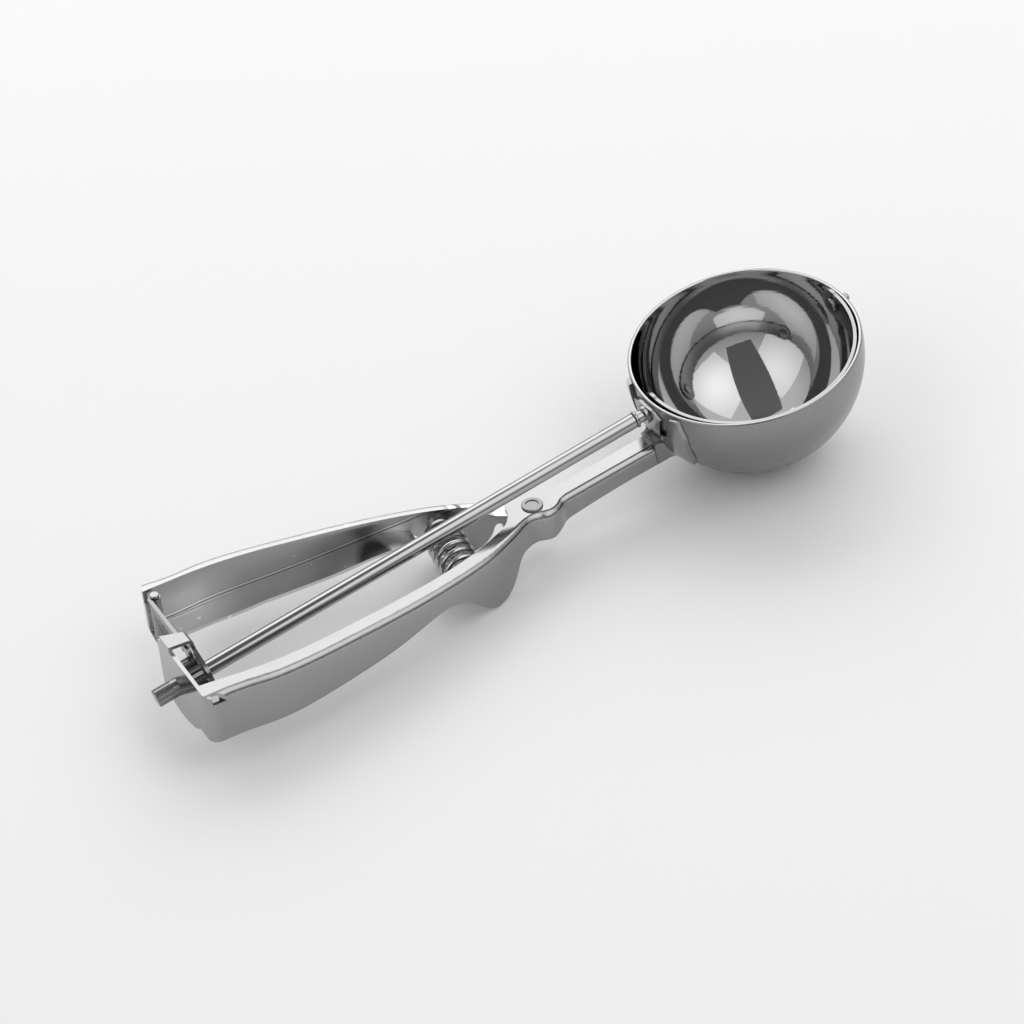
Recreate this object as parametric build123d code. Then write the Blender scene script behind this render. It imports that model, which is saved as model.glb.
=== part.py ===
from build123d import *
import math
import os

# Lever ice cream scoop: two stamped channel handles hinged behind a hemispherical bowl.
# Squeezing the lever drags a toothed rack over a pinion, which turns the spindle and
# sweeps a half-ring scraper round the inside of the bowl.
#
# Handle frame, used for the handles: origin on the pivot axis at the top of the flanges,
# +X towards the bowl, +Y towards the lever, +Z up. Spindle frame: origin at the centre of
# the bowl, +X along the spindle towards the front, +Z out of the bowl's mouth.
# The finished scoop lies on a table at Z = 0, with the origin in the middle of its footprint.

# ---- Driving dimensions, millimetres and degrees -------------------------------------

sheet = 0.9                    # steel of both handles, the saddle and the rack bridge
shoulder = 1.9                 # outside bend between a handle's top and its wall

bowl_radius = 29.0             # outside of the bowl
bowl_wall = 0.9
rim_height = 3.5               # rim above the spindle axis
rim_round = 0.3

spindle_rise = 10.0            # angle between the spindle and the plane of the handles
bowl_ahead = 62.4              # bowl centre ahead of the pivot, along the handles
bowl_above = 18.7              # bowl centre above the handles' top
rod_radius = 1.9
journal_radius = 1.5           # spindle in the bowl, ahead of its shoulder
journal_length = 4.3           # shoulder behind the bowl's outside
rod_clearance = 0.06           # running fit of the spindle and of every pivot, on radius

rear_plate_back = 96.0         # rear face of the fixed handle's end plate behind the pivot
rear_plate_far = 8.2           # end plate's edge on the lever side of the spindle
rear_plate_drop = 17.4         # end plate's bottom below the handles' top
leg_ahead = 6.75               # bridge leg's rear face ahead of the end plate's, along the spindle
bridge_rear = (1.5, 6.4)       # edges of the bridge over the end plate, towards the lever
bridge_leg = (1.05, 4.2)       # its edges down the leg
bridge_lift = 1.5              # top of the bridge above the handles' top
leg_radius = 5.4               # bearing eye of the bridge leg
stub_radius = 2.2              # spindle's rear end behind the end plate
stub_out = 5.66                # rear end of the spindle behind the end plate
flute_start = 1.2              # flutes behind the end plate
flute_count = 14
flute_radius = 0.28

gear_module = 0.7
pinion_teeth = 12
pressure_angle = 20.0
tooth_addendum = 0.6
tooth_dedendum = 0.85
tooth_play = 0.15              # each flank of a rack tooth is cut back by this much
pinion_end_gap = 0.3
rack_gap = 0.5                 # rack behind the bridge leg
rack_thickness = 0.85
rack_teeth = 8
rack_top_gap = 0.4             # rack's top edge below the handles' top
rack_pin_ahead = 5.8           # rack pin at rest, ahead of the end plate's rear face
rack_pin_out = 22.0            # rack pin towards the lever at rest
rack_pin_radius = 0.8
rack_pin_head_radius = 1.15
rack_knuckle_radius = 1.4
rack_floor_gap = 2.6           # bottom of the rack's wide end above the lever's lower edge

lever_opening = 6.5            # lever at rest, turned out from the fixed handle's mirror image
lever_squeeze = 8.0            # full travel of the lever

grip_ahead = 1.8               # lever's rear end ahead of the end plate's rear face
grip_heel_round = 1.8          # rounding of the lever's rear lower corner
grip_height = 13.4             # handle wall at the rear
stop_drop = 2.8                # finger stop below the handle's rear
spring_front = -6.5            # front of the stretch beside the spring without a lower flange
fixed_spring_rear = -30        # its rear on the fixed handle
lever_spring_rear = -27        # its rear on the lever
stop_back = 15.0               # lowest point of the finger stop behind the pivot
rear_wall_out = 17.6           # outside of the fixed handle's wall at the rear
fixed_flange = 4.6             # width of the fixed handle's top flange, wall included
lever_flange = 3.0             # width of the lever's top flange
lower_flange = 8.2             # width of a lower flange, wall included
corner_radius = 2.6            # plan radius at the rear corner of a handle
tongue_gap = 0.4               # lever tongues to the fixed plates, filled by the washers
tongue_radius = 2.9
pivot_depth = 7.9              # fixed handle's height at the pivot
rivet_radius = 1.5
rivet_head_radius = 2.65
rivet_head_height = 0.5
rivet_dish_radius = 1.7
rivet_dish_depth = 0.25
washer_radius = 2.7
washer_play = 0.05

neck_half_width = 2.75
neck_rise = 9.0                # neck rises forward from the plane of the handles
neck_bend_ahead = 5.0          # start of the neck ahead of the pivot
neck_depth = 5.8
plate_front = 3.6              # front of the pivot plate's open channel
neck_gap = 1.9                 # end of the neck behind the bowl's outside

saddle_gap = 0.03              # saddle to bowl, filled by the weld
saddle_half_width = 3.1        # saddle's channel, outside
saddle_top = -8.0              # channel's top and bottom over the spindle axis
saddle_bottom = -14.3
saddle_bend = 2.0              # bend from the channel's sides out to the wings
bush_radius = 2.1
bush_collar_radius = 2.4
bush_collar_length = 0.8
rod_collar_radius = 2.1
rod_collar_length = 0.7

blade_gap = 0.45               # scraper to the bowl
blade_thickness = 0.8
blade_width = 8.0
blade_eye_radius = 4.2
hub_radius = 2.6
hub_length = 0.9
rod_end_out = 0.3              # riveted end of the spindle inside the hub
front_pin_radius = 1.1
front_pin_out = 2.2            # outer end of the pin beyond the bowl
front_pin_head_radius = 2.0    # head inside the scraper
front_pin_head_height = 0.8
front_pin_play = 0.3           # head to the scraper
front_washer_radius = 2.2
front_washer_play = 0.17       # washer's thickness short of the scraper's gap

spring_radius = 5.0            # outside of the coil
spring_wire_radius = 0.62
spring_turns = 5.5
spring_drop = 6.0              # coil's axis below the handles' top
spring_near = (-23.6, -8.2)    # coil's end on the fixed handle, in plan
spring_far = (-20.3, 9.0)      # coil's end on the lever at rest, in plan
seat_radius = 4.6
seat_thickness = 0.8
seat_boss_radius = 2.3
seat_spigot_length = 2.0

# ---- Values worked out from them -----------------------------------------------------

far = 40.0                     # past every edge of the scoop, for cutting
long_end = -120.0              # past the rear of the handles
pitch_radius = gear_module * pinion_teeth / 2
tooth_pitch = math.pi * gear_module
rack_pin_back = rear_plate_back - rack_pin_ahead
rack_heel_drop = grip_height - rack_floor_gap
grip_back = rear_plate_back - grip_ahead
stop_depth = grip_height + stop_drop
neck_end_back = bowl_radius + neck_gap
bush_back = bowl_radius + saddle_gap + sheet + bush_collar_length
blade_outside = bowl_radius - bowl_wall - blade_gap
blade_inside = blade_outside - blade_thickness
pin_reach = math.hypot(rack_pin_back, rack_pin_out)
pin_angle = math.degrees(math.atan2(rack_pin_out, rack_pin_back))
pin_angle_squeezed = math.radians(pin_angle - lever_squeeze)
rack_travel = rack_pin_out - pin_reach * math.sin(pin_angle_squeezed)
rack_drift = pin_reach * math.cos(pin_angle_squeezed) - rack_pin_back
spindle_turn = math.degrees(rack_travel / pitch_radius)
rise = math.radians(spindle_rise)

spindle_frame = Location((bowl_ahead, 0, bowl_above), (0, -spindle_rise, 0))
lever_frame = Location((0, 0, 0), (0, 0, -lever_opening))

# Places along the spindle, behind the bowl's centre
plate_reach = (bowl_ahead + rear_plate_back) / math.cos(rise)
stub_reach = plate_reach + stub_out
leg_back = plate_reach - leg_ahead
rack_back = leg_back + rack_gap + rack_thickness / 2
pinion_front = leg_back + pinion_end_gap
pinion_rear = plate_reach - sheet - pinion_end_gap - (pitch_radius + tooth_addendum) * math.tan(rise)


def height_at(back, z):
    """Height over the spindle of the level z of the handles, a distance behind the bowl."""
    x = bowl_ahead - (back + (z - bowl_above) * math.sin(rise)) / math.cos(rise)
    return (z - bowl_above) * math.cos(rise) - (x - bowl_ahead) * math.sin(rise)


def prism(outline, low, high):
    """Solid between two levels over a closed outline in plan."""
    return Location((0, 0, low)) * extrude(make_face(outline), high - low)


def side_prism(outline):
    """Solid right across the scoop over a closed outline in side view."""
    return extrude(Plane.XZ * make_face(outline), 2 * far, both=True)


def cross_prism(outline, back, front):
    """Solid along the spindle over a closed outline seen along it, Y across and Z up."""
    return extrude(Plane.YZ.offset(back) * make_face(outline), front - back)


def polygon(*points):
    """Closed outline with straight sides."""
    return [Polyline(*points, close=True)]


def cylinder(radius, low, high, middle=(0, 0)):
    """Upright cylinder between two levels."""
    return Location((*middle, low)) * extrude(Circle(radius), high - low)


def spindle_cylinder(radius, back, front):
    """Cylinder on the spindle axis between two places along it."""
    return extrude(Plane.YZ.offset(back) * Circle(radius), front - back)


def box_between(low, high):
    """Box from corner to corner."""
    size = [b - a for a, b in zip(low, high)]
    middle = [(a + b) / 2 for a, b in zip(low, high)]
    return Location(middle) * Box(*size)


def inset_points(curve, distance):
    """Points a distance to the left of a curve, all along it."""
    points = []
    for step in range(61):
        place = curve.position_at(step / 60)
        run = curve.tangent_at(step / 60)
        points.append((place.X - distance * run.Y, place.Y + distance * run.X))
    return points


def round_above(solid, curves, radius, above=-1.5):
    """Round the top edges of a solid that run over curves drawn in plan."""
    found = []
    for edge in solid.edges():
        points = [edge.position_at(t) for t in (0.1, 0.5, 0.9)]
        plans = [Vector(p.X, p.Y, 0) for p in points]
        over = any(all(curve.distance_to(p) < 0.01 for p in plans) for curve in curves)
        if over and min(p.Z for p in points) > above:
            found.append(edge)
    return fillet(found, radius)


def rear_corner(back, out, radius):
    """Everything behind and outside a rounded rear corner of a handle."""
    middle = radius * (1 - math.sqrt(0.5))
    return prism([
        Polyline((radius - back, -out), (radius - back, -far), (long_end - 5, -far),
                 (long_end - 5, far), (-back, far), (-back, radius - out)),
        ThreePointArc((-back, radius - out), (middle - back, middle - out), (radius - back, -out)),
    ], -far, far)


# ---- Handle outlines, drawn on the fixed handle's side -------------------------------

grip_wall = [
    (-90, -rear_wall_out),
    (-80, -rear_wall_out - 1.1),
    (-67, -rear_wall_out - 1.1),
    (-54, -rear_wall_out),
    (-40, -16.0),
    (-28, -13.9),
    (-18, -11.3),
    (-11, -8.4),
    (-6.5, -6.1),
]
neck_start = (9.5, -neck_half_width)
fixed_wall = Spline(
    *grip_wall, (-3.0, -4.4), (-0.8, -4.2), (1.8, -5.0), (4.2, -4.8), (6.6, -3.7), neck_start,
    tangents=[(1, 0), (1, 0)])
lever_wall = Spline(*grip_wall, (-3.0, -3.6), (0, -tongue_radius), tangents=[(1, 0), (1, 0)])
wall_rear = Line((long_end, -rear_wall_out), grip_wall[0])


def flange_edge(width):
    """Points of a flange's free edge from the front to the rear, a width in from the wall."""
    points = [(x + 0.12 * width, y + width) for x, y in grip_wall[:-3]]
    return points[::-1] + [(long_end, points[0][1])]


def open_below(rear):
    """Opening beside the spring, where a handle has no lower flange."""
    return box_between((rear, -far, -far), (spring_front, far, -4 * sheet))


def grip_bottom(start, front_points):
    """Points of a handle's lower edge in side view, from the rear to the front."""
    grip = [
        (-74, -grip_height + 0.3),
        (-60, -grip_height + 1.9),
        (-46, -9.3),
        (-37, -7.0),
        (-31, -6.5),
        (-26.5, -8.2),
        (-21, -13.4),
        (-stop_back, -stop_depth),
        (-11, -14.2),
    ]
    return [start] + grip + front_points


def inside(wall, front):
    """Everything on the inner side of a handle's wall, up to a place along the scoop."""
    points = [p for p in inset_points(wall, sheet) if p[0] < front]
    start = (long_end, sheet - rear_wall_out)
    return prism([
        Line(start, points[0]),
        Spline(*points),
        Polyline(points[-1], (points[-1][0], far), (long_end, far), start),
    ], -far, far)


# ---- Fixed handle with its neck and end plate ----------------------------------------

def neck_top(x):
    """Level of the top of the fixed handle, flat behind the bend and rising ahead of it."""
    return max(0, x - neck_bend_ahead) * math.tan(math.radians(neck_rise))


def fixed_plan(flange):
    """Outline in plan of the fixed handle with its pivot plate and neck."""
    plate = [(9.5, neck_half_width), (6.6, 3.7), (4.2, 4.8), (1.8, 5.2), (-2, 5.1), (-5.3, 4.3)]
    heel = (-10.2, -3.4)
    return [
        wall_rear,
        fixed_wall,
        Polyline(neck_start, (2 * far, -neck_half_width), (2 * far, neck_half_width), plate[0]),
        Spline(*plate, tangents=[(-1, 0), (-1, -0.6)]),
        ThreePointArc(plate[-1], (-6.7, 0.2), heel),
        *flange(heel),
        Line((long_end, flange(heel)[-1].position_at(1).Y), (long_end, -rear_wall_out)),
    ]


def neck_line(level, radius):
    """Top line of the fixed handle in side view, or a line a sheet below it."""
    tip = (2 * far, neck_top(2 * far) + level / math.cos(math.radians(neck_rise)))
    return FilletPolyline((long_end, level), (neck_bend_ahead - level * 0.08, level), tip, radius=radius)


def make_fixed_handle():
    upper = prism(fixed_plan(lambda heel: [Spline(heel, *flange_edge(fixed_flange))]), -2 * sheet, far)
    lower = prism(fixed_plan(lambda heel: [Polyline(heel, *flange_edge(lower_flange))]), -far, -2 * sheet)
    bottom = grip_bottom((long_end, -grip_height), [(-8, -9.5), (-5.6, -pivot_depth)])
    bottom_line = Spline(*bottom, tangents=[(1, 0), (1, 0)])
    neck_bottom = [
        (3.2, -pivot_depth),
        (6.5, -6.6),
        (11, -5.4),
        (20, neck_top(20) - neck_depth),
        (2 * far, neck_top(2 * far) - neck_depth),
    ]
    top_line = neck_line(0, 12)
    silhouette = side_prism([
        top_line,
        Line(top_line @ 1, neck_bottom[-1]),
        Spline(*neck_bottom),
        Line(neck_bottom[0], bottom[-1]),
        bottom_line,
        Line(bottom[0], top_line @ 0),
    ])
    neck_edge = Line(neck_start, (2 * far, -neck_half_width))
    blank = (upper + lower) & silhouette
    blank = round_above(blank, [wall_rear, fixed_wall, neck_edge], shoulder)
    blank -= rear_corner(rear_plate_back, rear_wall_out, corner_radius)

    floor = inset_points(bottom_line, sheet)
    room_side = side_prism([
        Spline(*floor),
        Polyline(floor[-1], (neck_start[0], floor[-1][1]), (neck_start[0], -sheet), (long_end, -sheet),
                 floor[0]),
    ])
    room = inside(fixed_wall, plate_front) & (room_side + open_below(fixed_spring_rear))
    room -= rear_corner(rear_plate_back - sheet, rear_wall_out - sheet, corner_radius - sheet)

    inner_wall = [p for p in inset_points(fixed_wall, sheet) if p[0] > plate_front]
    reach = (2 * far, sheet - neck_half_width)
    under = neck_line(-sheet, 12 + sheet)
    neck_room = prism([
        Spline(*inner_wall),
        Polyline(inner_wall[-1], reach, (reach[0], -reach[1]), (9.3, -reach[1])),
        Spline((9.3, -reach[1]), (6.1, 2.95), (inner_wall[0][0], 4.1), tangents=[(-1, 0), (-1, 0.4)]),
        Line((inner_wall[0][0], 4.1), inner_wall[0]),
    ], -far, far) & side_prism([
        under,
        Polyline(under @ 1, (2 * far, -far), (long_end, -far), under @ 0),
    ])

    rear = -rear_plate_back
    end_plate = extrude(Plane.YZ.offset(rear) * make_face([
        Polyline((shoulder - rear_wall_out, 0), (bridge_rear[0], 0), (bridge_rear[0], bridge_lift - sheet),
                 (bridge_rear[1], bridge_lift - sheet), (bridge_rear[1], 0), (rear_plate_far - 1, 0)),
        ThreePointArc((rear_plate_far - 1, 0), (rear_plate_far - 0.3, -0.3), (rear_plate_far, -1)),
        Line((rear_plate_far, -1), (rear_plate_far, -13)),
        Spline((rear_plate_far, -13), (4, -rear_plate_drop + 0.7), (-1, -rear_plate_drop),
               (-10, -14.6), (corner_radius - rear_wall_out, -grip_height), tangents=[(0, -1), (-1, 0)]),
        Line((corner_radius - rear_wall_out, -grip_height), (corner_radius - rear_wall_out, -shoulder)),
        Line((corner_radius - rear_wall_out, -shoulder), (shoulder - rear_wall_out, 0)),
    ]), sheet)
    corner = -rear_wall_out
    corner_notch = prism(polygon(
        (rear + 1.6, corner + 1.3), (rear + 2.8, corner + 1.3), (rear + 6.2, corner - 0.6),
        (rear + 6.2, corner - 3), (rear + 1.6, corner - 3)), -2.45, far)
    handle = blank - room - neck_room - corner_notch + end_plate
    handle -= spindle_frame * spindle_cylinder(stub_radius + rod_clearance, -stub_reach, -pinion_rear)
    handle -= spindle_frame * box_between((-neck_end_back, -far, -far), (far, far, far))
    return handle - cylinder(rivet_radius, -far, far)


# ---- Lever ---------------------------------------------------------------------------

def to_lever_side(solid):
    """Mirror a piece drawn on the fixed handle's side and open it to the rest position."""
    return lever_frame * mirror(solid, Plane.XZ)


def lever_plan(edge):
    """Outline in plan of the lever with its tongue round the pivot."""
    return [
        wall_rear,
        lever_wall,
        ThreePointArc((0, -tongue_radius), (tongue_radius, 0), (0, tongue_radius)),
        *edge,
        Line(edge[-1] @ 1, (long_end, -rear_wall_out)),
    ]


def make_lever_handle():
    tongue = [(0, tongue_radius), (-4, 1.0), (-8, -1.6), (-12, -3.4)]
    upper_edge = Spline(*tongue, (-18, -6.3), *flange_edge(fixed_flange), tangents=[(-1, 0), (-1, 0)])
    tongue_edge = Spline(*tongue, tangents=[(-1, 0), (-1, -0.4)])
    lower_edge = Polyline(tongue[-1], *flange_edge(lower_flange))
    upper = prism(lever_plan([upper_edge]), -4 * sheet, 0)
    lower = prism(lever_plan([tongue_edge, lower_edge]), -far, -4 * sheet)
    shouldered = round_above(prism([
        wall_rear,
        lever_wall,
        Polyline((0, -tongue_radius), (0, far), (long_end, far), (long_end, -rear_wall_out)),
    ], -far, 0), [wall_rear, lever_wall], shoulder)
    outer = (upper + lower) & (shouldered + box_between((0, -far, -far), (far, far, 0)))

    top = -tongue_gap - sheet
    low = tongue_gap + sheet - pivot_depth
    turn = grip_heel_round
    middle = turn * (1 - math.sqrt(0.5))
    bottom = grip_bottom((turn - grip_back, -grip_height), [(-8.0, -9.0), (-6.0, low)])
    bottom_line = Spline(*bottom, tangents=[(1, 0), (1, 0)])
    top_line = FilletPolyline((-grip_back, 0), (-12.2, 0), (-8.8, top), (10, top), radius=3)
    blank = outer & side_prism([
        top_line,
        Polyline(top_line @ 1, (10, low), bottom[-1]),
        bottom_line,
        ThreePointArc(bottom[0], (middle - grip_back, middle - grip_height), (-grip_back, turn - grip_height)),
        Line((-grip_back, turn - grip_height), (-grip_back, 0)),
    ])
    blank -= rear_corner(grip_back, rear_wall_out, corner_radius)

    floor = inset_points(bottom_line, sheet)
    under = FilletPolyline((sheet - grip_back, -sheet), (-12.5, -sheet), (-9.1, top - sheet),
                           (10, top - sheet), radius=3)
    middle = (turn - sheet) * (1 - math.sqrt(0.5)) + sheet
    room_side = side_prism([
        under,
        Polyline(under @ 1, (10, low + sheet), floor[-1]),
        Spline(*floor),
        ThreePointArc(floor[0], (middle - grip_back, middle - grip_height),
                      (sheet - grip_back, turn - grip_height)),
        Line((sheet - grip_back, turn - grip_height), under @ 0),
    ])
    tongue_room = prism(polygon((-3.2, -far), (far, -far), (far, far), (-3.2, far)), -far, far)
    room = (inside(lever_wall, -3) + tongue_room) & (room_side + open_below(lever_spring_rear))
    room -= rear_corner(grip_back - sheet, rear_wall_out - sheet, corner_radius - sheet)
    handle = blank - room - cylinder(rivet_radius + rod_clearance, -far, far)
    pin = pin_on_lever()
    knuckle_side = pin[1] - rack_knuckle_radius - 0.3
    handle -= box_between((-far * 3, knuckle_side, sheet - grip_height), (turn - grip_back, 0, far))
    trim_edge = Spline((-12.5, -6.0), (-18, -8.3), *flange_edge(lever_flange))
    handle -= prism([
        trim_edge,
        Polyline(trim_edge @ 1, (long_end, far), (-12.5, far), trim_edge @ 0),
    ], -3.4, far)
    return to_lever_side(handle - cylinder(rack_pin_radius, -far, far, pin))


def pin_on_lever():
    """Place of the rack pin, drawn on the fixed handle's side."""
    angle = math.radians(pin_angle - lever_opening)
    return -pin_reach * math.cos(angle), -pin_reach * math.sin(angle)


# ---- Pivot ---------------------------------------------------------------------------

def make_pivot_rivet():
    head = fillet(cylinder(rivet_head_radius, 0, rivet_head_height).edges().sort_by(Axis.Z)[-1], 0.3)
    foot = fillet(cylinder(rivet_head_radius - 0.2, -pivot_depth - 0.8, -pivot_depth)
                  .edges().sort_by(Axis.Z)[0], 0.5)
    dish = cylinder(rivet_dish_radius, rivet_head_height - rivet_dish_depth, far)
    return cylinder(rivet_radius, -pivot_depth, 0) + head + foot - dish


def ring(outer, inner, low, high, middle=(0, 0)):
    """Upright tube between two levels."""
    return cylinder(outer, low, high, middle) - cylinder(inner, low, high, middle)


bore = rivet_radius + rod_clearance
thickness = tongue_gap - washer_play
pivot_washers = Compound([
    ring(washer_radius, bore, -sheet - thickness, -sheet),
    ring(washer_radius, bore, sheet - pivot_depth, sheet - pivot_depth + thickness),
])
pivot_spacer = ring(
    2.5, bore, tongue_gap + 2 * sheet - pivot_depth, -tongue_gap - 2 * sheet)


# ---- Handle spring and its seats -----------------------------------------------------

near_end = Vector(*spring_near, -spring_drop)
far_end = Vector(*spring_far, -spring_drop)
spring_run = far_end - near_end
spring_plane = Plane(origin=near_end, z_dir=spring_run)
spring_length = spring_run.length


def make_spring():
    coil_radius = spring_radius - spring_wire_radius
    height = spring_length - 2 * spring_wire_radius - 0.04
    path = Helix(height / spring_turns, height, coil_radius)
    wire = Plane(origin=path @ 0, z_dir=path % 0) * Circle(spring_wire_radius)
    coil = sweep(wire, path=path, is_frenet=True)
    return spring_plane * Location((0, 0, spring_wire_radius + 0.02)) * coil


def make_seat(sign):
    """Seat on one end of the spring: a disc, a spigot in the coil and a boss to the wall."""
    disc = extrude(Circle(seat_radius), -seat_thickness)
    spigot = extrude(Circle(seat_boss_radius), seat_spigot_length)
    boss = extrude(Circle(seat_boss_radius), -far / 2)
    seat = disc + spigot + boss
    if sign > 0:
        return spring_plane * seat
    end_plane = Plane(origin=far_end, z_dir=-spring_run)
    return end_plane * seat


fixed_spring_seat = make_seat(1) & inside(fixed_wall, -8)
lever_spring_seat = make_seat(-1) & to_lever_side(inside(lever_wall, -8))


# ---- Bowl, saddle and front pin, drawn in the spindle frame --------------------------

def make_bowl():
    below_rim = box_between((-far, -far, -far), (far, far, rim_height))
    shell = (Sphere(bowl_radius) - Sphere(bowl_radius - bowl_wall)) & below_rim
    shell = fillet(shell.faces().sort_by(Axis.Z)[-1].edges(), rim_round)
    shell -= spindle_cylinder(bush_radius, -far, 0)
    return shell - spindle_cylinder(front_pin_radius, 0, far)


def make_saddle():
    inner = bowl_radius + saddle_gap
    channel = box_between((-neck_end_back, -saddle_half_width, -far), (-bowl_radius / 2, saddle_half_width, saddle_top))
    channel -= box_between(
        (sheet - neck_end_back, sheet - saddle_half_width, -far), (0, saddle_half_width - sheet, far))
    shell = (Sphere(inner + sheet) + channel) - Sphere(inner)
    bends = [e for e in shell.edges() if abs(abs(e.center().Y) - saddle_half_width) < 0.01
             and abs((e @ 0.5).length - inner - sheet) < 0.01]
    shell = fillet(bends, saddle_bend)
    side = [
        (2.6, 2.5), (5.7, 1.0), (4.0, -5.0), (6.8, -3.8), (8.7, 2.7), (10.8, 2.9), (12.1, -2.5),
        (11.1, -10.9), (9.4, saddle_bottom), (7.8, saddle_bottom - 0.2), (6.9, -12.6), (5.2, -13.0),
        (saddle_half_width, saddle_bottom),
    ]
    outline = side + [(-y, z) for y, z in side[::-1]]
    return shell & cross_prism(polygon(*outline), -far, 0) - spindle_cylinder(bush_radius, -far, 0)


def make_rear_bush():
    bush = spindle_cylinder(bush_collar_radius, -bush_back, bush_collar_length - bush_back)
    bush += spindle_cylinder(bush_radius, -bush_back, bowl_wall - bowl_radius)
    return bush - spindle_cylinder(journal_radius + rod_clearance, -far, 0)


def make_front_pin():
    head_front = math.sqrt(blade_inside ** 2 - front_pin_head_radius ** 2) - front_pin_play
    head_back = head_front - front_pin_head_height
    pin = spindle_cylinder(front_pin_radius, head_back, bowl_radius + front_pin_out)
    pin = fillet(pin.edges().sort_by(Axis.X)[-1], 0.5)
    head = spindle_cylinder(front_pin_head_radius, head_back, head_front)
    return pin + fillet(head.edges().sort_by(Axis.X)[0], 0.4)


washer_face = blade_outside + 0.02
front_washer = spindle_cylinder(
    front_washer_radius, washer_face, washer_face + blade_gap - front_washer_play)
front_washer -= spindle_cylinder(front_pin_radius, 0, far)


# ---- Bridge over the rack ------------------------------------------------------------

def make_bridge():
    low, high = bridge_leg
    leg_front = sheet - leg_back
    front = bowl_ahead - leg_back * math.cos(rise)
    top_piece = prism(polygon(
        (-rear_plate_back, bridge_rear[0]), (-rear_plate_back, bridge_rear[1]), (front, high), (far, high),
        (far, low), (front, low)), bridge_lift - sheet, bridge_lift)
    top_piece -= spindle_frame * box_between((leg_front, -far, -far), (far * 3, far, far))
    strip = box_between((-leg_back, low, 0), (leg_front, high, far))
    eye = extrude(Plane.YZ.offset(-leg_back) * Circle(leg_radius), sheet)
    web = cross_prism(polygon(
        (-leg_radius * 0.55, leg_radius * 0.8), (leg_radius * 0.985, 0), (high, leg_radius * 0.9),
        (high, leg_radius + 1.2), (low, leg_radius + 1.2)), -leg_back, leg_front)
    leg = spindle_frame * (strip + eye + web)
    leg &= box_between((-far * 3, -far, -far), (far, far, bridge_lift))
    bridge = top_piece + leg
    top_edges = bridge.edges().filter_by(Axis.Y).filter_by_position(Axis.Z, bridge_lift - 0.01, bridge_lift + 0.01)
    bridge = fillet(top_edges.sort_by(Axis.X)[-1], 1.2)
    return bridge - spindle_frame * spindle_cylinder(rod_radius + rod_clearance, -plate_reach, far - leg_back)


# ---- Rack ----------------------------------------------------------------------------

def make_rack():
    slope = math.tan(math.radians(pressure_angle))
    pitch_line = pitch_radius - rack_drift * math.sin(rise) / 2
    half = tooth_pitch / 4 - tooth_play
    root, tip = pitch_line + tooth_dedendum, pitch_line - tooth_addendum
    root_half, tip_half = half + tooth_dedendum * slope, half - tooth_addendum * slope
    top = height_at(rack_back, -rack_top_gap)
    outline = [(0.2, top - 0.6), (0.2, root)]
    for count in range(rack_teeth):
        middle = (count + 0.5) * tooth_pitch
        outline += [(middle - root_half, root), (middle - tip_half, tip)]
        outline += [(middle + tip_half, tip), (middle + root_half, root)]
    heel = height_at(rack_back, -rack_heel_drop)
    outline += [(17.9, root), (17.9, heel), (rack_pin_out, heel), (rack_pin_out, top), (0.8, top)]
    plate = cross_prism(polygon(*outline), -rack_back - rack_thickness / 2, rack_thickness / 2 - rack_back)
    pin = (-rack_pin_back, rack_pin_out)
    knuckle = cylinder(rack_knuckle_radius, -rack_heel_drop - 0.6, -rack_top_gap - 0.2, pin)
    levels = box_between((-far * 3, -far, -rack_heel_drop - 0.6), (far, far, -rack_top_gap))
    rack = ((spindle_frame * plate) & levels) + knuckle
    return rack - cylinder(rack_pin_radius + rod_clearance, -far, far, pin)


def make_rack_pin():
    pin = (-rack_pin_back, rack_pin_out)
    head = cylinder(rack_pin_head_radius, -0.35, 0.25, pin)
    head = fillet(head.edges().sort_by(Axis.Z)[-1], 0.25)
    return cylinder(rack_pin_radius, -grip_height - 0.1, -0.35, pin) + head


rack_washer = ring(
    rack_knuckle_radius, rack_pin_radius + rod_clearance, sheet - grip_height + 0.02,
    -rack_heel_drop - 0.65, (-rack_pin_back, rack_pin_out))


# ---- Spindle: rod, pinion, collar, scraper and hub -----------------------------------

def involute(radius):
    """How far a tooth flank has turned from the base circle at a radius."""
    base = pitch_radius * math.cos(math.radians(pressure_angle))
    angle = math.acos(min(1, base / radius))
    return math.tan(angle) - angle


def make_pinion():
    outline = []
    root, outer = pitch_radius - tooth_dedendum, pitch_radius + tooth_addendum
    for tooth in range(pinion_teeth):
        centre = math.pi / 2 + 2 * math.pi * tooth / pinion_teeth
        flank = []
        for radius in (root, pitch_radius * 0.95, pitch_radius, (pitch_radius + outer) / 2, outer):
            half = math.pi / (2 * pinion_teeth) + involute(pitch_radius) - involute(radius)
            flank.append((radius, half))
        for radius, half in flank:
            outline.append((radius, centre - half))
        for radius, half in flank[::-1]:
            outline.append((radius, centre + half))
    points = [(radius * math.cos(angle), radius * math.sin(angle)) for radius, angle in outline]
    gear = cross_prism(polygon(*points), -pinion_rear, -pinion_front)
    gear -= spindle_cylinder(rod_radius, -pinion_rear, -pinion_front)
    stub = spindle_cylinder(stub_radius, -stub_reach, -pinion_rear)
    stub = fillet(stub.edges().sort_by(Axis.X)[0], 0.3)
    for flute in range(flute_count):
        angle = 2 * math.pi * flute / flute_count
        place = Location((0, stub_radius * math.cos(angle), stub_radius * math.sin(angle)))
        stub -= place * spindle_cylinder(flute_radius, -stub_reach, -plate_reach - flute_start)
    return gear + stub


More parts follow.
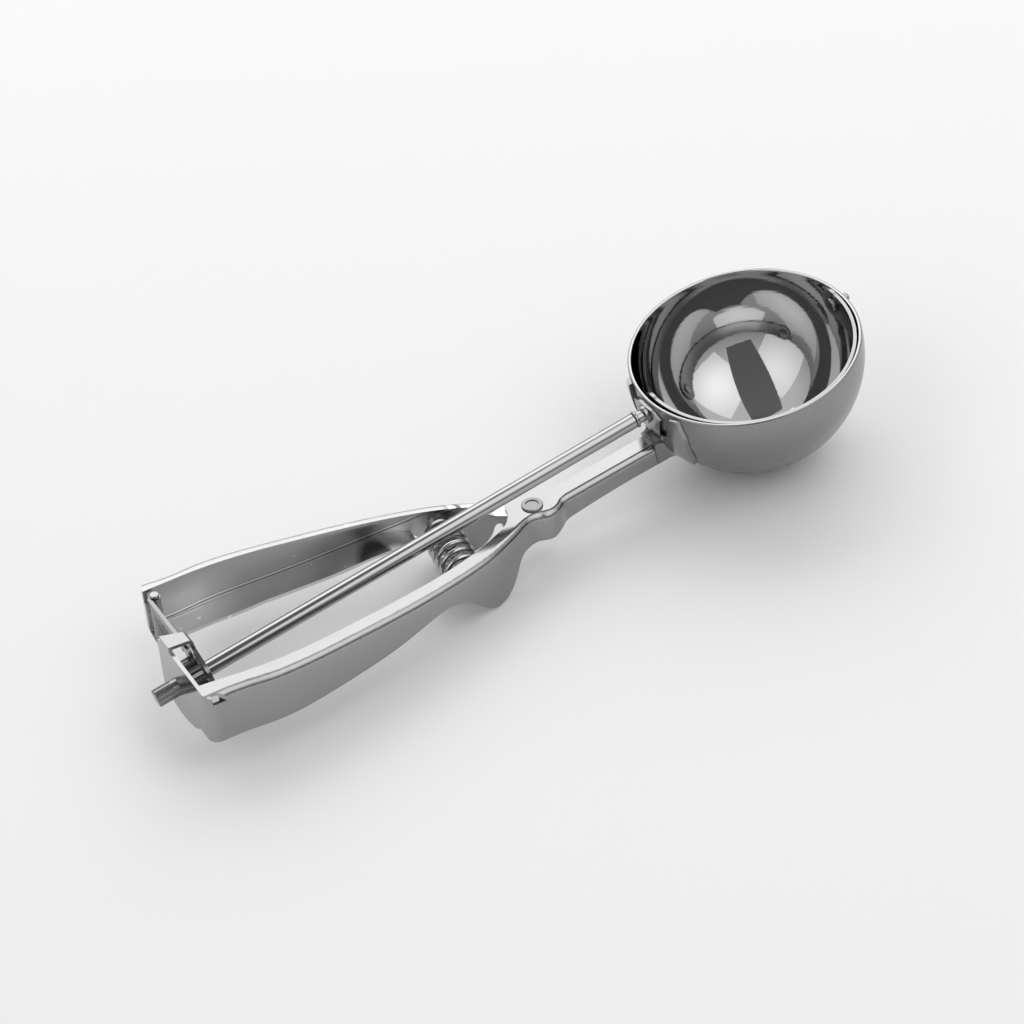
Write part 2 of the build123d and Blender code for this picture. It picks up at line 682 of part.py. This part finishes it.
def make_blade():
    shell = Sphere(blade_outside) - Sphere(blade_inside)
    half = blade_width / 2
    region = box_between((-far, -half, -far), (far, half, 0))
    region += spindle_cylinder(blade_eye_radius, -far, far)
    region -= spindle_cylinder(journal_radius, -far, 0)
    region -= spindle_cylinder(front_pin_radius + rod_clearance, 0, far)
    blade = shell & region
    return Location((0, 0, 0), (-spindle_turn / 2, 0, 0)) * blade


hub = spindle_cylinder(hub_radius, -blade_inside, hub_length - blade_inside)
hub = fillet(hub.edges().sort_by(Axis.X)[-1], 0.3) - spindle_cylinder(journal_radius, -far, 0)
hub -= Sphere(far) - Sphere(blade_inside)
shoulder_back = bowl_radius + journal_length
rod = chamfer(spindle_cylinder(rod_radius, -pinion_rear, -shoulder_back).edges().sort_by(Axis.X)[-1], 0.3)
rod += spindle_cylinder(journal_radius, -shoulder_back, hub_length + rod_end_out - blade_inside)
rod_collar = spindle_cylinder(rod_collar_radius, -shoulder_back, rod_collar_length - shoulder_back)
rod_collar = chamfer(rod_collar.edges(), 0.15) - spindle_cylinder(journal_radius, -far, 0)

# ---- The scoop at rest ---------------------------------------------------------------

pieces = {
    "fixed_handle": make_fixed_handle(),
    "lever_handle": make_lever_handle(),
    "pivot_rivet": make_pivot_rivet(),
    "pivot_washers": pivot_washers,
    "pivot_spacer": pivot_spacer,
    "handle_spring": make_spring(),
    "fixed_spring_seat": fixed_spring_seat,
    "lever_spring_seat": lever_spring_seat,
    "rack_bridge": make_bridge(),
    "rack": make_rack(),
    "rack_pin": make_rack_pin(),
    "rack_washer": rack_washer,
    "bowl": spindle_frame * make_bowl(),
    "bowl_saddle": spindle_frame * make_saddle(),
    "rear_bush": spindle_frame * make_rear_bush(),
    "front_pin": spindle_frame * make_front_pin(),
    "front_washer": spindle_frame * front_washer,
    "spindle_rod": spindle_frame * rod,
    "pinion": spindle_frame * make_pinion(),
    "rod_collar": spindle_frame * rod_collar,
    "scraper_blade": spindle_frame * make_blade(),
    "blade_hub": spindle_frame * hub,
}

# It lies on the bottom of the bowl and on the two finger stops.
bowl_from_stop = Vector(bowl_ahead + stop_back, bowl_above + stop_depth)
rest_tilt = math.degrees(
    math.atan2(bowl_from_stop.Y, bowl_from_stop.X) - math.asin(bowl_radius / bowl_from_stop.length))
tilted = Location((0, 0, 0), (0, rest_tilt, 0))
box = Compound([tilted * piece for piece in pieces.values()]).bounding_box()
placement = Location((-box.center().X, -box.center().Y, -box.min.Z)) * tilted

os.makedirs("parts", exist_ok=True)
for name, piece in pieces.items():
    export_step(placement * piece, f"parts/{name}.step")
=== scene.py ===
import math
import bpy
from mathutils import Matrix, Vector

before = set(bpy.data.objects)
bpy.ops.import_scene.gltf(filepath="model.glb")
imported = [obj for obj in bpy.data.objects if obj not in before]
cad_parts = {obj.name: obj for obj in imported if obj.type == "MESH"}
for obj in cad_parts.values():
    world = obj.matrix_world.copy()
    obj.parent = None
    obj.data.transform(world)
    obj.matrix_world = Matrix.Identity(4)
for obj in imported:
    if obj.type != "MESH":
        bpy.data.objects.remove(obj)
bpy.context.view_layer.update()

# ---- Table, room and studio light ------------------------------------------------------
# The scoop lies on a plain pale table top, under three large soft boxes. Two dark cards
# give the polished steel something to mirror besides white. The camera looks down on it
# from the side of the fixed handle.


def add_node(tree, kind, operation=None, **values):
    """Adds a node and sets its inputs by name, with _ for a space."""
    node = tree.nodes.new(kind)
    if operation:
        node.operation = operation
    for name, value in values.items():
        node.inputs[name.replace("_", " ")].default_value = value
    return node


def grey_ramp(tree, stops):
    """A ramp of greys from (place, grey) stops, in order."""
    ramp = tree.nodes.new("ShaderNodeValToRGB")
    elements = ramp.color_ramp.elements
    elements[0].position = stops[0][0]
    elements[1].position = stops[-1][0]
    for place, grey in stops[1:-1]:
        elements.new(place)
    for element, (place, grey) in zip(elements, stops):
        element.color = (grey, grey, grey, 1)
    return ramp


camera_data = bpy.data.cameras.new("camera")
camera_data.sensor_width = 36.0
camera_data.lens = 92.698
camera_place = (-0.207604, -0.430915, 0.430572)
camera_right = (0.84920744, -0.51552628, -0.11436514)
camera_up = (0.41583541, 0.5193756, 0.74654531)
camera_back = (-0.32546526, -0.6815289, 0.6554317)
camera = bpy.data.objects.new("camera", camera_data)
camera.matrix_world = Matrix.Translation(camera_place) @ Matrix(
    (camera_right, camera_up, camera_back)).transposed().to_4x4()
bpy.context.scene.collection.objects.link(camera)
bpy.context.scene.camera = camera
bpy.context.scene.view_settings.view_transform = "Standard"

# The room is dim near the table and pale overhead.
world = bpy.data.worlds.new("studio")
world.use_nodes = True
tree = world.node_tree
links = tree.links
direction = add_node(tree, "ShaderNodeTexCoord")
height = add_node(tree, "ShaderNodeSeparateXYZ")
room = grey_ramp(tree, ((0.1, 0.27), (0.75, 0.86)))
links.new(direction.outputs["Generated"], height.inputs["Vector"])
links.new(height.outputs["Z"], room.inputs["Fac"])
links.new(room.outputs["Color"], tree.nodes["Background"].inputs["Color"])
bpy.context.scene.world = world


def towards_scoop(place):
    """The turn that makes something at a place face the scoop."""
    return (-Vector(place)).to_track_quat("-Z", "Y")


def soft_box(name, place, width, height, watts, edge):
    """A soft box that faces the scoop, with the edge of its cloth dimmer than its middle."""
    lamp = bpy.data.lights.new(name, "AREA")
    lamp.shape = "RECTANGLE"
    lamp.size = width
    lamp.size_y = height
    lamp.energy = watts
    lamp.use_nodes = True
    tree = lamp.node_tree
    cloth = add_node(tree, "ShaderNodeNewGeometry")
    from_middle = add_node(tree, "ShaderNodeVectorMath", "DISTANCE")
    from_middle.inputs[1].default_value = (0.5, 0.5, 0.0)
    fade = add_node(
        tree, "ShaderNodeMapRange", From_Min=0.1, From_Max=0.55, To_Min=1.0, To_Max=edge)
    tree.links.new(cloth.outputs["Parametric"], from_middle.inputs[0])
    tree.links.new(from_middle.outputs["Value"], fade.inputs["Value"])
    tree.links.new(fade.outputs["Result"], tree.nodes["Emission"].inputs["Strength"])
    lamp_object = bpy.data.objects.new(name, lamp)
    lamp_object.location = place
    lamp_object.rotation_euler = towards_scoop(place).to_euler()
    bpy.context.scene.collection.objects.link(lamp_object)


soft_box("box_behind", (0.50, 1.00, 0.95), 2.0, 1.2, watts=11.2, edge=0.75)
soft_box("box_over", (0.45, -0.66, 1.14), 1.4, 1.3, watts=5.2, edge=0.55)
soft_box("box_left", (-1.15, -0.25, 1.10), 1.5, 1.7, watts=5.2, edge=0.7)


def matt_paint(name, grey):
    """Plain matt paint."""
    paint = bpy.data.materials.new(name)
    paint.use_nodes = True
    shader = paint.node_tree.nodes["Principled BSDF"]
    shader.inputs["Base Color"].default_value = (grey, grey, grey, 1)
    shader.inputs["Roughness"].default_value = 0.9
    return paint


def flat_board(name, size, paint):
    """A flat painted board that lies in the middle of the floor."""
    bpy.ops.object.select_all(action="DESELECT")
    bpy.ops.mesh.primitive_plane_add(size=size)
    board = bpy.context.object
    board.name = name
    board.data.materials.append(paint)
    return board


def dark_card(name, place, width, height, lean):
    """A dark card that faces the scoop and leans to one side by an angle in degrees."""
    card = flat_board(name, 1.0, card_paint)
    turn = towards_scoop(place).to_matrix().to_4x4() @ Matrix.Rotation(
        math.radians(lean), 4, "Z")
    card.data.transform(
        Matrix.Translation(place) @ turn @ Matrix.Diagonal((width, height, 1, 1)))


card_paint = matt_paint("card_paint", 0.2)
dark_card("card_over", (-0.31, -0.36, 1.15), 0.8, 2.3, lean=24)
dark_card("card_right", (1.10, -0.25, 0.25), 0.7, 0.45, lean=0)

flat_board("table", 6.0, matt_paint("table_paint", 0.92))

# ---- Fixed handle ----------------------------------------------------------------------
# Pressed from 0.9 mm stainless sheet into a channel, with the neck and the end plate in
# one piece. It is polished along its length on a belt, which leaves fine long marks.


def steel(name, grey, roughness, marks, tilt=(0, 0, 0), depth=0.25):
    """Stainless steel, handled and wiped, with polishing marks of a length, width and height
    in metres, turned by tilt."""
    material = bpy.data.materials.new(name)
    material.use_nodes = True
    tree = material.node_tree
    links = tree.links
    shader = tree.nodes["Principled BSDF"]
    shader.inputs["Metallic"].default_value = 1.0
    position = add_node(tree, "ShaderNodeTexCoord")

    stretch = tree.nodes.new("ShaderNodeMapping")
    stretch.vector_type = "TEXTURE"
    stretch.inputs["Rotation"].default_value = tilt
    stretch.inputs["Scale"].default_value = marks
    lines = add_node(tree, "ShaderNodeTexNoise", Scale=1.0, Detail=3.0)
    smudge = add_node(tree, "ShaderNodeTexNoise", Scale=55.0, Detail=5.0, Distortion=0.6)
    links.new(position.outputs["Object"], stretch.inputs["Vector"])
    links.new(stretch.outputs["Vector"], lines.inputs["Vector"])
    links.new(position.outputs["Object"], smudge.inputs["Vector"])

    # Smudges change the tone a little.
    tone = tree.nodes.new("ShaderNodeMix")
    tone.data_type = "RGBA"
    tone.inputs[6].default_value = (grey * 0.9, grey * 0.9, grey * 0.9, 1)
    tone.inputs[7].default_value = (grey * 1.06, grey * 1.06, grey * 1.06, 1)
    links.new(smudge.outputs["Fac"], tone.inputs[0])
    links.new(tone.outputs[2], shader.inputs["Base Color"])

    # Smudges and marks both change the roughness.
    dull = add_node(
        tree, "ShaderNodeMapRange", From_Min=0.35, From_Max=0.7,
        To_Min=roughness * 0.8, To_Max=roughness * 1.35)
    streak = add_node(
        tree, "ShaderNodeMapRange", To_Min=-roughness * 0.25, To_Max=roughness * 0.25)
    total = add_node(tree, "ShaderNodeMath", "ADD")
    links.new(smudge.outputs["Fac"], dull.inputs["Value"])
    links.new(lines.outputs["Fac"], streak.inputs["Value"])
    links.new(dull.outputs["Result"], total.inputs[0])
    links.new(streak.outputs["Result"], total.inputs[1])
    links.new(total.outputs["Value"], shader.inputs["Roughness"])

    bump = add_node(tree, "ShaderNodeBump", Strength=depth, Distance=0.00003)
    links.new(lines.outputs["Fac"], bump.inputs["Height"])
    links.new(bump.outputs["Normal"], shader.inputs["Normal"])
    return material


def finish_piece(name, material):
    """Gives a piece its finish, smooth over its bends and crisp at its cut edges."""
    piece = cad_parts[name]
    for slot in piece.material_slots:
        slot.material = material
    for face in piece.data.polygons:
        face.use_smooth = True
    weld = piece.modifiers.new("weld", "WELD")
    weld.merge_threshold = 1e-6
    corners = piece.modifiers.new("corners", "EDGE_SPLIT")
    corners.split_angle = math.radians(30)
    flats = piece.modifiers.new("flats", "WEIGHTED_NORMAL")
    flats.keep_sharp = True


handle_slope = math.radians(4.3)
belt_marks = (0.03, 0.0003, 0.0003)
finish_piece("fixed_handle", steel(
    "fixed_handle_steel", 0.36, 0.13, belt_marks, tilt=(0, handle_slope, 0)))

# ---- Lever -----------------------------------------------------------------------------
# The other handle, pressed from the same sheet, with two tongues that turn on the rivet.
# The polishing belt can't reach inside its channel, which stays duller, with a few dried water
# spots.
# Painted shade and painted highlight lines run along its lower bend.

lever_angle = math.radians(-6.5)
# The lever's steel is given a lighter grey than the fixed handle's. This is painted light that
# lifts its shaded inner wall.
lever_steel = steel(
    "lever_handle_steel", 0.62, 0.19, belt_marks, tilt=(0, handle_slope, lever_angle))
tree = lever_steel.node_tree
links = tree.links
shader = tree.nodes["Principled BSDF"]
position = add_node(tree, "ShaderNodeTexCoord")

# 1 on the faces inside the channel, which look inwards or up, and 0 on the rest. These take the
# painted shade and highlight lines, the water spots and a duller roughness.
facing = add_node(tree, "ShaderNodeVectorMath", "DOT_PRODUCT")
facing.inputs[1].default_value = (0, -0.7, 0.7)
inside = add_node(tree, "ShaderNodeMapRange", From_Min=0.2, From_Max=0.35)
links.new(position.outputs["Normal"], facing.inputs[0])
links.new(facing.outputs["Value"], inside.inputs["Value"])

# Height over the inner face of the lower flange, which is lowest at one place along the
# grip and rises with the square of the distance from it.
flange_low_x = -0.068
flange_low_z = 0.0084
flange_rise = 2.29
axes = add_node(tree, "ShaderNodeSeparateXYZ")
along = add_node(tree, "ShaderNodeMath", "ADD")
along.inputs[1].default_value = -flange_low_x
square = add_node(tree, "ShaderNodeMath", "MULTIPLY")
flange = add_node(tree, "ShaderNodeMath", "MULTIPLY_ADD")
flange.inputs[1].default_value = flange_rise
flange.inputs[2].default_value = flange_low_z
over = add_node(tree, "ShaderNodeMath", "SUBTRACT")
level = add_node(tree, "ShaderNodeMapRange", From_Min=-0.0004, From_Max=0.0020)
links.new(position.outputs["Object"], axes.inputs["Vector"])
links.new(axes.outputs["X"], along.inputs[0])
links.new(along.outputs["Value"], square.inputs[0])
links.new(along.outputs["Value"], square.inputs[1])
links.new(square.outputs["Value"], flange.inputs[0])
links.new(axes.outputs["Z"], over.inputs[0])
links.new(flange.outputs["Value"], over.inputs[1])
links.new(over.outputs["Value"], level.inputs["Value"])

# From the flange up: the flange painted lighter as a reflection, painted shade in the bend, a
# painted highlight on its edge, a second painted dark line, then the wall.
bend_painted_light = grey_ramp(tree, (
    (0.26, 1.15), (0.31, 0.2), (0.41, 0.25), (0.47, 1.3), (0.62, 1.3), (0.70, 0.45), (0.80, 0.8)))
drops = add_node(tree, "ShaderNodeTexVoronoi", Scale=210.0)
spot = add_node(
    tree, "ShaderNodeMapRange", From_Min=0.07, From_Max=0.13, To_Min=1.5, To_Max=1.0)
inner = add_node(tree, "ShaderNodeVectorMath", "SCALE")
links.new(level.outputs["Result"], bend_painted_light.inputs["Fac"])
links.new(position.outputs["Object"], drops.inputs["Vector"])
links.new(drops.outputs["Distance"], spot.inputs["Value"])
links.new(bend_painted_light.outputs["Color"], inner.inputs[0])
links.new(spot.outputs["Result"], inner.inputs["Scale"])

# Faces outside the mask keep this tone. The faces inside take the painted shade and highlight
# lines.
polished = 0.76
side = tree.nodes.new("ShaderNodeMix")
side.data_type = "RGBA"
side.inputs[6].default_value = (polished, polished, polished, 1)
shade = add_node(tree, "ShaderNodeVectorMath", "MULTIPLY")
links.new(inside.outputs["Result"], side.inputs[0])
links.new(inner.outputs["Vector"], side.inputs[7])
links.new(shader.inputs["Base Color"].links[0].from_socket, shade.inputs[0])
links.new(side.outputs[2], shade.inputs[1])
links.new(shade.outputs["Vector"], shader.inputs["Base Color"])

duller_inside = 0.14
dull = add_node(tree, "ShaderNodeMath", "MULTIPLY_ADD")
dull.inputs[1].default_value = duller_inside
links.new(inside.outputs["Result"], dull.inputs[0])
links.new(shader.inputs["Roughness"].links[0].from_socket, dull.inputs[2])
links.new(dull.outputs["Value"], shader.inputs["Roughness"])
finish_piece("lever_handle", lever_steel)

# ---- Pivot rivet, washers and spacer ---------------------------------------------------
# A tubular rivet rolled over at both ends. The turned washers and the spacer on it keep
# the lever's tongues from rubbing on the plates.

pivot_steel = steel("pivot_steel", 0.27, 0.3, (0.0006, 0.0006, 0.0006))
for name in ("pivot_rivet", "pivot_washers", "pivot_spacer"):
    finish_piece(name, pivot_steel)

# ---- Handle spring and its seats -------------------------------------------------------
# Coiled from hard-drawn stainless wire, which stays a little duller than the sheet. Its
# pressed seats are spot-welded inside both walls.

finish_piece("handle_spring", steel(
    "spring_wire", 0.55, 0.2, (0.0004, 0.0004, 0.0004), depth=0.08))
seat_steel = steel("seat_steel", 0.32, 0.2, (0.001, 0.001, 0.001))
for name in ("fixed_spring_seat", "lever_spring_seat"):
    finish_piece(name, seat_steel)

# ---- Rack bridge -----------------------------------------------------------------------
# A strip bent down over the rack, with an eye for the spindle. It is welded to the end
# plate and ground across its width.

finish_piece("rack_bridge", steel(
    "bridge_steel", 0.34, 0.16, (0.0004, 0.006, 0.0004), tilt=(0, handle_slope, 0)))

# ---- Rack, its pin and washer ----------------------------------------------------------
# The rack is blanked from plate, with the fine drag marks of the punch across its edges.
# Its shouldered pin is riveted into the lever's lower flange over a thin washer.

finish_piece("rack", steel("rack_steel", 0.29, 0.26, (0.0004, 0.004, 0.0004), depth=0.5))
pin_steel = steel("rack_pin_steel", 0.36, 0.12, (0.0005, 0.0005, 0.0005))
for name in ("rack_pin", "rack_washer"):
    finish_piece(name, pin_steel)

# ---- Bowl ------------------------------------------------------------------------------
# Drawn from sheet and trimmed to a thin round rim. The inside has a mirror polish, and
# the outside keeps the satin rings of the polishing wheel.

bowl_centre = (0.067379, 0.0, 0.029094)
mirror_radius = 0.0284
satin_radius = 0.0287
mirror_grey = 0.52
spindle_slope = math.radians(-5.7)
bowl_steel = steel("bowl_steel", 0.29, 0.24, (0.05, 0.05, 0.0004), tilt=(0, spindle_slope, 0))
tree = bowl_steel.node_tree
links = tree.links
shader = tree.nodes["Principled BSDF"]

# 1 on the outside and 0.16 on the inside, by the distance from the bowl's centre.
position = add_node(tree, "ShaderNodeTexCoord")
from_centre = add_node(tree, "ShaderNodeVectorMath", "DISTANCE")
from_centre.inputs[1].default_value = bowl_centre
outside = add_node(
    tree, "ShaderNodeMapRange", From_Min=mirror_radius, From_Max=satin_radius,
    To_Min=0.16, To_Max=1.0)
links.new(position.outputs["Object"], from_centre.inputs[0])
links.new(from_centre.outputs["Value"], outside.inputs["Value"])

polish = add_node(tree, "ShaderNodeMath", "MULTIPLY")
links.new(shader.inputs["Roughness"].links[0].from_socket, polish.inputs[0])
links.new(outside.outputs["Result"], polish.inputs[1])
links.new(polish.outputs["Value"], shader.inputs["Roughness"])
links.new(outside.outputs["Result"], tree.nodes["Bump"].inputs["Strength"])

bare = tree.nodes.new("ShaderNodeMix")
bare.data_type = "RGBA"
bare.inputs[6].default_value = (mirror_grey, mirror_grey, mirror_grey, 1)
links.new(outside.outputs["Result"], bare.inputs[0])
links.new(shader.inputs["Base Color"].links[0].from_socket, bare.inputs[7])
links.new(bare.outputs[2], shader.inputs["Base Color"])
finish_piece("bowl", bowl_steel)

# ---- Saddle and rear bush --------------------------------------------------------------
# The saddle is pressed to the curve of the bowl and spot-welded to it, and carries the
# neck. The turned bush in it is the rear bearing of the spindle.

finish_piece("bowl_saddle", steel("saddle_steel", 0.31, 0.24, (0.0006, 0.0006, 0.012)))
finish_piece("rear_bush", steel("bush_steel", 0.32, 0.16, (0.0006, 0.0006, 0.0006)))

# ---- Front pin and washer --------------------------------------------------------------
# A headed pin through the scraper, riveted in the bowl's front, with a thin washer that
# keeps the scraper off the bowl.

front_steel = steel("front_pin_steel", 0.36, 0.12, (0.0005, 0.0005, 0.0005))
for name in ("front_pin", "front_washer"):
    finish_piece(name, front_steel)

# ---- Spindle and collar ----------------------------------------------------------------
# Drawn rod, centreless ground and buffed, with a turned-down end in the bowl and a thin
# collar against its shoulder.

finish_piece("spindle_rod", steel(
    "rod_steel", 0.42, 0.12, (0.02, 0.0003, 0.0003), tilt=(0, spindle_slope, 0)))
finish_piece("rod_collar", steel("collar_steel", 0.32, 0.16, (0.0005, 0.0005, 0.0005)))

# ---- Pinion ----------------------------------------------------------------------------
# Hobbed from bar in one piece with the fluted stub that turns in the end plate, and
# pressed on the spindle. It stays as cut, so it is duller than the rest.

finish_piece("pinion", steel(
    "pinion_steel", 0.30, 0.24, (0.0004, 0.0004, 0.0004), depth=0.5))

# ---- Scraper and hub -------------------------------------------------------------------
# A springy half ring that follows the bowl, a little duller than its inside. The hub
# clamps it to the end of the spindle.

finish_piece("scraper_blade", steel("scraper_steel", 0.36, 0.28, (0.012, 0.0004, 0.012)))
finish_piece("blade_hub", steel("hub_steel", 0.34, 0.14, (0.0005, 0.0005, 0.0005)))
